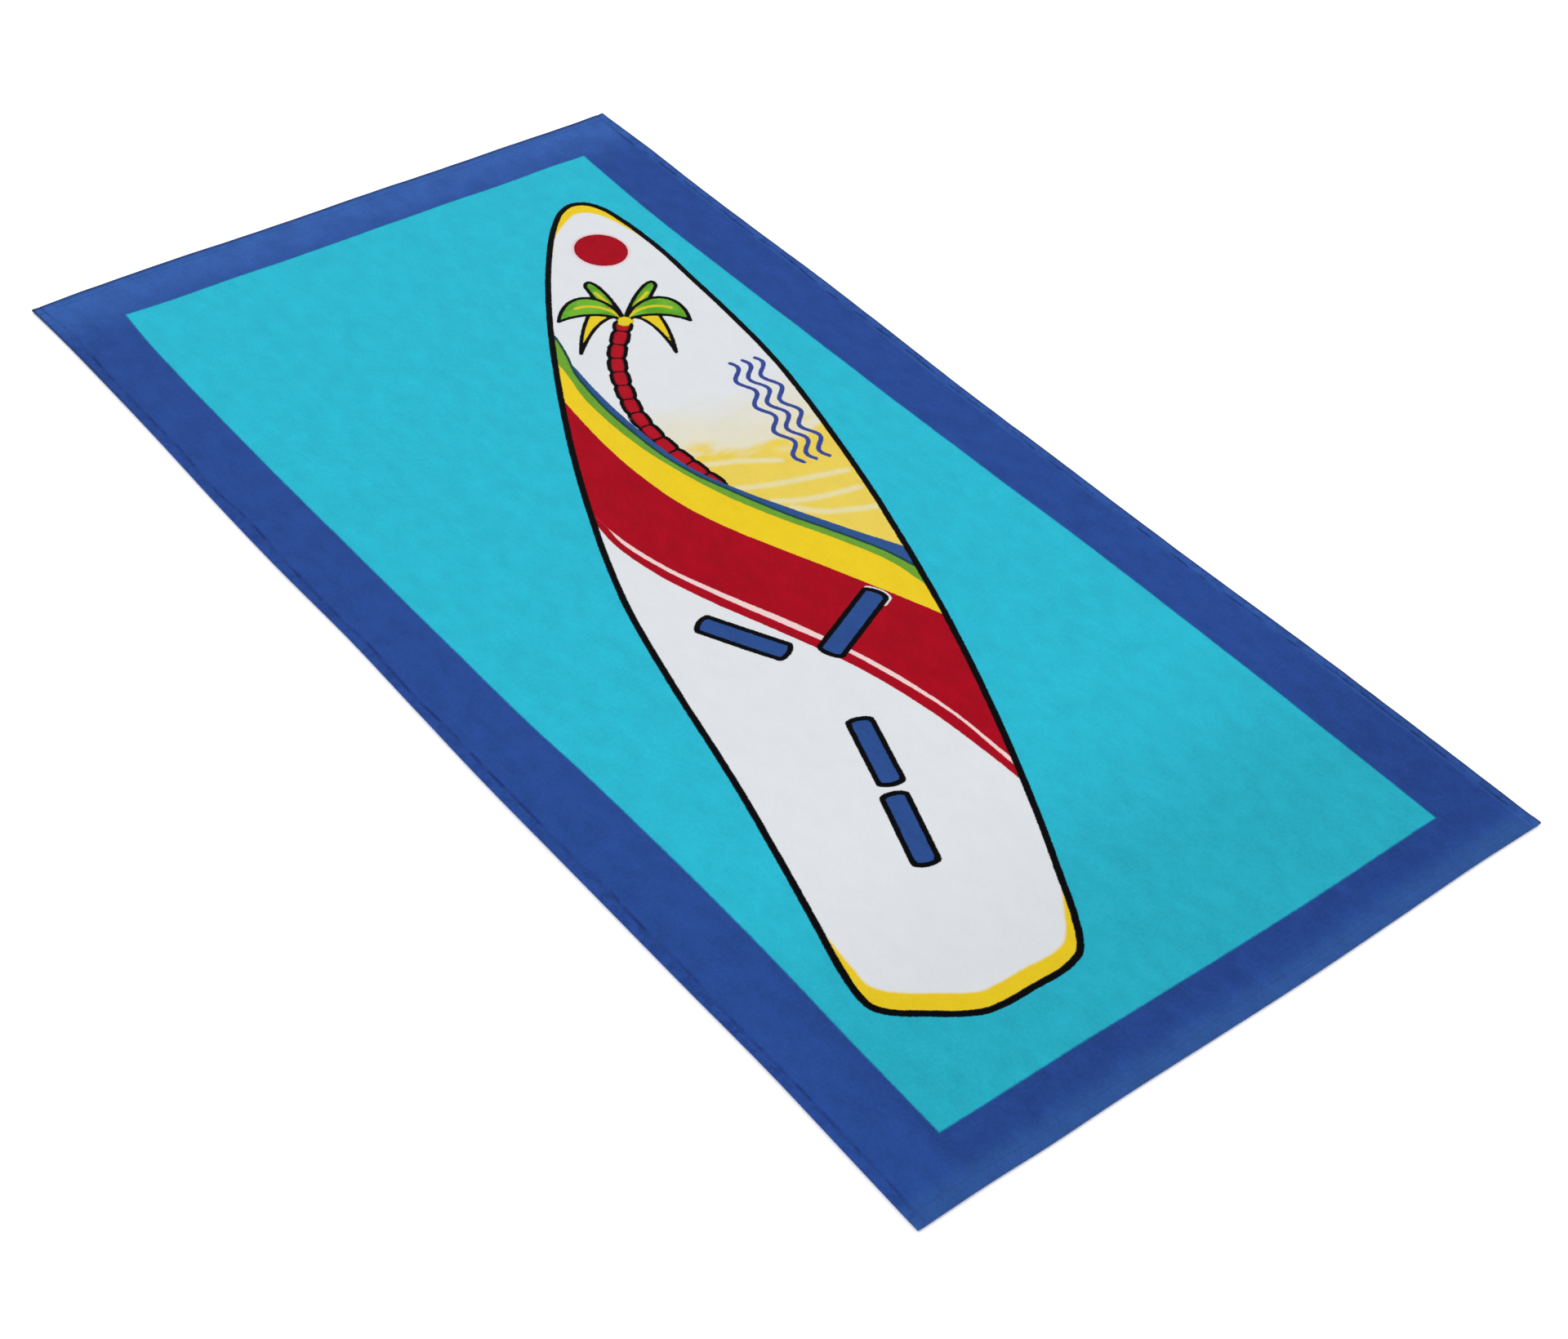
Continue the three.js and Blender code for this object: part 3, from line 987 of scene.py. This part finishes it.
class Paint:
    """Adds nodes to a material and joins them up."""

    def __init__(self, name):
        self.material = bpy.data.materials.new(name)
        self.material.use_nodes = True
        self.nodes = self.material.node_tree.nodes
        self.links = self.material.node_tree.links
        self.shader = self.nodes["Principled BSDF"]
        self.read = {}

    def put(self, socket, value):
        """Joins a socket to another, or sets its number or colour."""
        if isinstance(value, bpy.types.NodeSocket):
            self.links.new(value, socket)
        else:
            socket.default_value = value

    def add(self, kind, inputs=None, **settings):
        """A node with its settings and inputs."""
        node = self.nodes.new(kind)
        for name, value in settings.items():
            setattr(node, name, value)
        for name, value in (inputs or {}).items():
            self.put(node.inputs[name], value)
        return node

    def sum(self, operation, first, second=0.0):
        """Arithmetic on two numbers."""
        node = self.add("ShaderNodeMath", {0: first, 1: second}, operation=operation)
        return node.outputs[0]

    def times(self, first, second):
        """One number times another."""
        return self.sum("MULTIPLY", first, second)

    def place(self, axis=None):
        """The point's place in the towel's frame, in metres, or its X (0) or Y (1)."""
        if "place" not in self.read:
            self.read["place"] = self.add("ShaderNodeTexCoord").outputs["Object"]
        if axis is None:
            return self.read["place"]
        if "axes" not in self.read:
            self.read["axes"] = self.add("ShaderNodeSeparateXYZ", {0: self.read["place"]})
        return self.read["axes"].outputs[axis]

    def stored(self, name, part):
        """One of the three numbers kept for each point."""
        if name not in self.read:
            source = self.add("ShaderNodeAttribute", attribute_name=name)
            split = self.add("ShaderNodeSeparateXYZ", {0: source.outputs["Vector"]})
            self.read[name] = split
        return self.read[name].outputs[part]

    def field(self, name):
        """A printed shape's distance."""
        for group, members in FIELD_GROUPS:
            if name in members:
                return self.stored(group, members.index(name))
        raise KeyError(name)

    def noise(self, scale, detail=2.0, stretch=(1, 1, 1), roughness=0.5):
        """Uneven grey from 0 to 1."""
        moved = self.add("ShaderNodeMapping", {"Vector": self.place(), "Scale": stretch})
        made = self.add("ShaderNodeTexNoise", {
            "Vector": moved.outputs[0], "Scale": scale, "Detail": detail, "Roughness": roughness})
        return made.outputs["Fac"]

    def ramp(self, value, low, high, out_low=0.0, out_high=1.0, smooth=True):
        """A number eased from one range to another."""
        node = self.add("ShaderNodeMapRange", {
            "Value": value, "From Min": low, "From Max": high, "To Min": out_low, "To Max": out_high},
            interpolation_type="SMOOTHSTEP" if smooth else "LINEAR")
        return node.outputs["Result"]

    def mix(self, share, first, second, blend="MIX"):
        """One colour laid over another."""
        node = self.add("ShaderNodeMix", data_type="RGBA", blend_type=blend)
        self.put(node.inputs[0], share)
        self.put(node.inputs[6], first)
        self.put(node.inputs[7], second)
        return node.outputs[2]

    def bumps(self, height, distance, strength=1.0, under=None):
        """Small relief from a height."""
        node = self.add("ShaderNodeBump", {"Height": height, "Distance": distance, "Strength": strength})
        if under is not None:
            self.put(node.inputs["Normal"], under)
        return node.outputs[0]

    def finish(self, made, relief=None, **plain):
        """Gives the shader its colour, its relief and its plain numbers, and returns the material."""
        self.put(self.shader.inputs["Base Color"], made)
        if relief is not None:
            self.put(self.shader.inputs["Normal"], relief)
        for name, value in plain.items():
            self.shader.inputs[SOCKETS[name]].default_value = value
        return self.material


BORDER = colour(40, 74, 147)
BORDER_RIGHT = colour(39, 73, 148)
BORDER_NOSE = colour(55, 98, 173)
BORDER_TAIL = colour(47, 85, 149)
# painted shade for the seams and the side hems
BORDER_SEAM_SHADE = colour(25, 48, 112)
# painted shade where the edge rolls down away from the light
BORDER_RIM_SHADE = colour(38, 46, 84)
TAIL_SHADE = 0.17  # how much darker the pile looks near the tail
TURQUOISE = colour(42, 184, 209)
FIELD_FRINGE = colour(30, 120, 165)
BOARD_WHITE = colour(224, 227, 231)
INK = colour(2, 2, 5)
RED = colour(165, 4, 28)
RED_RIM = colour(140, 10, 24)
PINK = colour(232, 190, 195)
BLUSH = colour(239, 209, 207)
YELLOW = colour(236, 204, 36)
GREEN = colour(108, 160, 50)
TEAL = colour(24, 70, 66)
BAND_BLUE = colour(46, 82, 140)
STRAP_BLUE = colour(43, 77, 141)
WAVE_BLUE = colour(54, 72, 148)
SUN_YELLOW = colour(233, 207, 88)
CREAM = colour(226, 222, 200)
PALE = colour(228, 222, 180)
LEAF_GREEN = colour(88, 160, 38)
LEAF_LIGHT = colour(112, 180, 52)
LEAF_YELLOW = colour(230, 202, 38)
BARK_RED = colour(174, 14, 34)
BARK_DARK = colour(105, 12, 26)


class Print(Paint):
    """The printed picture, laid on colour by colour with edges as fuzzy as print on pile."""

    def __init__(self, name):
        super().__init__(name)
        near = self.ramp(self.noise(900, 3.0), 0.25, 0.75, -0.5, 0.5, smooth=False)
        wide = self.ramp(self.noise(120, 2.0), 0.3, 0.7, -0.22, 0.22, smooth=False)
        self.shake = self.sum("ADD", near, wide)
        self.uneven = self.ramp(self.noise(28, 3.0), 0.3, 0.7, 0.7, 1.0)

    def over(self, distance, edge=0.0, soft=0.55):
        """1 where a distance is past an edge."""
        return self.ramp(self.sum("ADD", distance, self.shake), edge - soft, edge + soft)

    def within(self, distance, half, soft=0.55):
        """1 where a distance is within half a line's width of 0."""
        shaken = self.sum("ADD", self.sum("ABSOLUTE", distance), self.shake)
        return self.ramp(shaken, half - soft, half + soft, 1.0, 0.0)

    def fill(self, made, name, dye, edge=0.0, soft=0.55):
        """A dye over a printed shape, from an edge inwards."""
        return self.mix(self.over(self.field(name), edge, soft), made, dye)

    def draw(self, made, name, half, dye=INK):
        """A drawn line along a printed shape's outline."""
        return self.mix(self.within(self.field(name), half), made, dye)

    def band(self, made, place, reach, strength, dye):
        """A dye that fades over a reach (distance, from, to), only at a place and a little uneven."""
        here = self.times(self.ramp(*reach, strength, 0.0), place)
        return self.mix(self.times(here, self.uneven), made, dye)

    def border(self):
        """Royal blue, lighter along the end hems, with painted light on the right hem's crown, painted
        shade in patches on the side hems up to the seams, and a painted shaded rim on the nose end, on the
        right side and on the left side near the nose."""
        x, y = self.place(0), self.place(1)
        at_right = self.ramp(x, -0.05, 0.05)
        at_nose = self.ramp(y, -0.05, 0.05)
        at_tail = self.sum("SUBTRACT", 1.0, at_nose)
        left_of_nose = self.sum("SUBTRACT", self.ramp(y, 0.45, 0.65), at_right)
        hem_shade_patches = self.ramp(self.noise(120, 3.0), 0.42, 0.66, 0.0, 0.4)
        from_side, from_end = self.stored("hem", 0), self.stored("hem", 1)
        made = BORDER
        for place, reach, strength, dye in (
                (at_right, (x, 0.38, 0.39), 1.0, BORDER_RIGHT),
                (at_nose, (from_end, 16.0, 105.0), 1.0, BORDER_NOSE),
                (at_tail, (from_end, 8.0, 34.0), 1.0, BORDER_TAIL),
                # painted light: the right hem's raised crown, lit
                (at_right, (from_side, 11.0, 15.0), 0.6, BORDER_NOSE),
                # painted shade, in patches, on the side hems up to the seams
                (hem_shade_patches, (from_side, 8.0, 12.0), 1.0, BORDER_SEAM_SHADE),
                # painted shade on the rims that roll away from the light
                (at_right, (from_side, 1.2, 4.5), 0.9, BORDER_RIM_SHADE),
                (left_of_nose, (from_side, 0.6, 2.6), 0.7, BORDER_RIM_SHADE),
                (at_nose, (from_end, 2.0, 8.5), 0.9, BORDER_RIM_SHADE)):
            made = self.band(made, place, reach, strength, dye)
        return made

    def sky(self):
        """White above, cream lower down and yellow at the bands, with pale streaks of light."""
        cloud = self.ramp(self.noise(22, 2.0, (1.0, 2.4, 1.0)), 0.3, 0.7, -0.016, 0.016, smooth=False)
        slant = self.ramp(self.place(0), (450 + LEFT) * MM, (520 + LEFT) * MM, 0.026, 0.0)
        high = self.sum("SUBTRACT", self.sum("ADD", self.place(1), cloud), slant)
        horizon = (830 + TAIL) * MM
        made = self.mix(self.ramp(high, horizon + 0.03, horizon + 0.12), CREAM, BOARD_WHITE)
        made = self.mix(self.ramp(high, horizon - 0.005, horizon + 0.025), SUN_YELLOW, made)
        return self.mix(self.ramp(self.field("streak"), 0.5, 7.0, 0.85, 0.0), made, PALE)

    def palm(self, made):
        """The palm's ringed trunk, then its leaves over it, and their drawn outlines."""
        made = self.fill(made, "trunk", BARK_DARK)
        made = self.fill(made, "trunk", BARK_RED, 3.0, 2.0)
        made = self.draw(made, "bark", 1.5)
        leaf = self.over(self.field("leaf"))
        light = self.ramp(self.noise(45, 2.0), 0.35, 0.65)
        made = self.mix(leaf, made, self.mix(light, LEAF_GREEN, LEAF_LIGHT))
        vein = self.ramp(self.field("vein"), 0.4, 3.4, 1.0, 0.0)
        made = self.mix(self.times(vein, leaf), made, LEAF_YELLOW)
        made = self.fill(made, "yellow_leaf", LEAF_YELLOW, 0.0, 1.2)
        crown = self.ramp(self.field("crown"), 6.0, 14.0, 1.0, 0.0)
        made = self.mix(self.times(crown, leaf), made, LEAF_YELLOW)
        return self.draw(made, "ink", 2.3)

    def stripes(self, made):
        """The bands across the board, from the right: each lays its colour to the left of its edge."""
        for name, left in (("stripe_7", BAND_BLUE), ("stripe_6", GREEN), ("stripe_5", YELLOW),
                           ("stripe_4", RED), ("stripe_3", BLUSH), ("stripe_2", RED),
                           ("stripe_1", BOARD_WHITE)):
            made = self.mix(self.over(self.field(name)), left, made)
            if name == "stripe_6":
                past = self.sum("SUBTRACT", self.field(name), 0.7)
                made = self.mix(self.within(past, 1.5), made, TEAL)
        return made

    def board(self):
        """Everything inside the board's outline."""
        made = self.stripes(self.palm(self.sky()))
        made = self.draw(made, "wave", 2.6, WAVE_BLUE)
        for name in ("nose", "tail"):
            made = self.fill(made, name, YELLOW, 0.0, 1.8)
        made = self.mix(self.times(self.over(self.field("dot"), -3.0, 1.0), 0.6), made, PINK)
        made = self.fill(made, "dot", RED_RIM)
        made = self.fill(made, "dot", RED, 1.6)
        made = self.fill(made, "shine", BOARD_WHITE)
        made = self.fill(made, "strap", INK)
        return self.fill(made, "strap", STRAP_BLUE, 5.7)

    def picture(self):
        """The whole face: border, turquoise field, and the board with its outline."""
        field = self.sum("MINIMUM", self.field("field_sides"), self.field("field_ends"))
        made = self.mix(self.over(field), self.border(), TURQUOISE)
        made = self.mix(self.times(self.within(field, 0.9), 0.5), made, FIELD_FRINGE)
        made = self.fill(made, "board", self.board())
        return self.draw(made, "board", 3.5)


def nap_shade(paint, made, blotch):
    """How light the pile looks: blotches and speckle, faint on white, and darker near the tail."""
    light = paint.add("ShaderNodeRGBToBW", {0: made}).outputs[0]
    grain = paint.noise(380, 4.0, (1.0, 0.7, 1.0), 0.75)
    shade = paint.sum("ADD", paint.ramp(blotch, 0.3, 0.7, -0.10, 0.10, smooth=False),
                      paint.ramp(grain, 0.3, 0.7, -0.12, 0.12, smooth=False))
    shade = paint.times(shade, paint.ramp(light, 0.05, 0.6, 1.0, 0.15, smooth=False))
    from_tail = paint.sum("SUBTRACT", paint.place(1), TAIL * MM)
    lies = paint.ramp(from_tail, 0.008, 0.045)
    lies = paint.times(lies, paint.ramp(from_tail, 0.15, 0.36, 1.0, 0.0))
    lies = paint.times(lies, paint.ramp(paint.place(0), -0.335, -0.3))
    lies = paint.times(lies, paint.ramp(light, 0.35, 0.55, TAIL_SHADE, TAIL_SHADE * 0.4))
    return paint.sum("ADD", paint.sum("SUBTRACT", shade, lies), 1.0)


def velour():
    """Cut pile: matt, softly lit at the edges, blotched where the nap lies another way, with painted seam
    shade.
    """
    paint = Print("printed_velour")
    made = paint.picture()
    # painted shade in the seams' groove, in patches, fading towards the ends
    seam_shade_patches = paint.ramp(paint.noise(38, 3.0), 0.42, 0.62, 0.0, 0.85)
    dip = paint.times(paint.ramp(paint.stored("hem", 2), 0.1, 1.0), seam_shade_patches)
    dip = paint.times(dip, paint.ramp(paint.stored("hem", 1), 12.0, 60.0, 0.15, 1.0))
    made = paint.mix(dip, made, BORDER_SEAM_SHADE)
    blotch = paint.noise(60, 4.0, (1.0, 0.6, 1.0), 0.6)
    shade = nap_shade(paint, made, blotch)
    grey = paint.add("ShaderNodeCombineColor", {0: shade, 1: shade, 2: shade})
    made = paint.mix(1.0, made, grey.outputs[0], "MULTIPLY")
    nap = paint.bumps(blotch, 0.0008, 0.12)
    pile = paint.bumps(paint.noise(1500, 3.0, (1.0, 0.8, 1.0), 0.7), 0.0005, 0.4, nap)
    return paint.finish(made, pile, roughness=0.95, specular=0.02, sheen=0.04, sheen_roughness=0.5)


def weave(name, light, dark, scale, roughness):
    """Plain weave or ribbon: crossing yarns, with painted shade between them and a little unevenness."""
    paint = Paint(name)
    waves = []
    for direction in ("X", "Y"):
        wave = paint.add("ShaderNodeTexWave", {
            "Vector": paint.place(), "Scale": scale, "Distortion": 1.2, "Detail": 2.0,
            "Detail Scale": 1.5}, bands_direction=direction, wave_profile="SIN")
        waves.append(wave.outputs["Fac"])
    yarns = paint.sum("MAXIMUM", *waves)
    uneven = paint.ramp(paint.noise(90, 3.0), 0.3, 0.7, 0.0, 0.35)
    # darker where the yarns sink is painted shade; the uneven patches are tone
    made = paint.mix(uneven, paint.mix(yarns, dark, light), dark)
    return paint.finish(made, paint.bumps(yarns, 0.0003, 0.6), roughness=roughness, specular=0.25)


def terry():
    """Uncut loops in off-white with painted shade between them, and a breath of the print showing through.
    """
    paint = Paint("looped_terry")
    loops = paint.add("ShaderNodeTexVoronoi", {"Vector": paint.place(), "Scale": 520.0},
                      feature="SMOOTH_F1")
    depth = loops.outputs["Distance"]
    # grey between the loops is painted shade
    made = paint.mix(paint.ramp(depth, 0.15, 0.75), colour(236, 235, 230), colour(196, 200, 204))
    made = paint.mix(paint.ramp(paint.noise(40, 3.0), 0.4, 0.8, 0.0, 0.22), made, colour(176, 204, 216))
    relief = paint.bumps(paint.ramp(depth, 0.0, 1.0, 1.0, 0.0), 0.001, 0.8)
    return paint.finish(made, relief, roughness=1.0, specular=0.1, sheen=0.15)


def sewing_thread():
    """Twisted polyester thread, a little glossy, with painted shade in the grooves of its twist."""
    paint = Paint("sewing_thread")
    wave = paint.add("ShaderNodeTexWave", {
        "Vector": paint.place(), "Scale": 420.0, "Distortion": 1.0, "Detail": 1.0},
        bands_direction="DIAGONAL")
    twist = wave.outputs["Fac"]
    # darker in the grooves of the twist: painted shade
    made = paint.mix(twist, colour(30, 54, 120), colour(52, 84, 156))
    return paint.finish(made, paint.bumps(twist, 0.0001, 0.7), roughness=0.55, specular=0.35)


def floor_paint():
    """Plain white floor."""
    paint = Paint("floor_white")
    soft = paint.ramp(paint.noise(2.0, 2.0), 0.3, 0.7)
    made = paint.mix(soft, (0.955, 0.955, 0.955, 1.0), (0.97, 0.97, 0.97, 1.0))
    return paint.finish(made, roughness=0.9, specular=0.0)


# ---------------------------------------------------------------- camera, light and floor

CAMERA_PLACE = (-1.2874, -1.5179, 1.6707)
CAMERA_HEADING = math.radians(42.32)
CAMERA_DOWN = math.radians(42.56)
CAMERA_ROLL = math.radians(5.275)
CAMERA_LENS = 59.46
SENSOR_WIDTH = 36.0

SKY_STRENGTH = 0.96
SUN_TOWARD = (0.55, 0.05, -1.0)  # from the nose end and the left
SUN_STRENGTH = 1.05
SUN_SPREAD = math.radians(50)


def add_camera():
    """A camera that looks down along the towel from its left side, rolled a little."""
    data = bpy.data.cameras.new("camera")
    data.sensor_width = SENSOR_WIDTH
    data.sensor_fit = "HORIZONTAL"
    data.lens = CAMERA_LENS
    camera = bpy.data.objects.new("camera", data)
    bpy.context.scene.collection.objects.link(camera)
    turn = Matrix.Rotation(-CAMERA_HEADING, 4, "Z")
    tilt = Matrix.Rotation(math.pi / 2 - CAMERA_DOWN, 4, "X")
    roll = Matrix.Rotation(CAMERA_ROLL, 4, "Z")
    camera.matrix_world = Matrix.Translation(CAMERA_PLACE) @ turn @ tilt @ roll
    bpy.context.scene.camera = camera


def add_soft_sun(name, toward, strength, spread):
    """Even light from one direction, soft enough to leave no hard shadow."""
    data = bpy.data.lights.new(name, "SUN")
    data.energy = strength
    data.angle = spread
    light = bpy.data.objects.new(name, data)
    bpy.context.scene.collection.objects.link(light)
    light.matrix_world = Vector(toward).to_track_quat("-Z", "Y").to_matrix().to_4x4()


def add_studio():
    """White surroundings, one large soft light and a white floor."""
    world = bpy.data.worlds.new("studio")
    bpy.context.scene.world = world
    world.use_nodes = True
    world.node_tree.nodes["Background"].inputs[0].default_value = (1, 1, 1, 1)
    world.node_tree.nodes["Background"].inputs[1].default_value = SKY_STRENGTH
    add_soft_sun("soft_light", SUN_TOWARD, SUN_STRENGTH, SUN_SPREAD)
    bpy.context.scene.view_settings.view_transform = "Standard"
    size = 12000.0
    plan = np.linspace(-size, size, 9)
    u, v = grid_points(plan, plan)
    floor = new_mesh("floor", u, v, 0 * u - 0.05, grid_faces(9, 9))
    floor.data.materials.append(floor_paint())


# ---------------------------------------------------------------- the whole towel


def build_towel():
    """Every piece, with its material and what it stands for."""
    cotton = weave("ground_weave_cotton", colour(70, 104, 170), colour(30, 52, 110), 330, 0.9)
    satin = weave("label_satin", colour(240, 240, 237), colour(214, 214, 210), 700, 0.45)
    face = place_piece(build_face(), velour(), "velour_face_pile")
    ground = place_piece(build_ground(), cotton, "ground_weave")
    back = place_piece(build_back(), terry(), "loop_back_pile")
    label = place_piece(build_label(), satin, "care_label")
    thread_paint = sewing_thread()
    for seed, (side, along_v, near_edge) in enumerate(SEAMS):
        for kind, on_face in (("needle", True), ("bobbin", False)):
            thread = build_thread(f"{kind}_stitches_{side}", on_face, along_v, near_edge, seed)
            place_piece(thread, thread_paint, f"{kind}_thread_{side}")


add_camera()
add_studio()
build_towel()
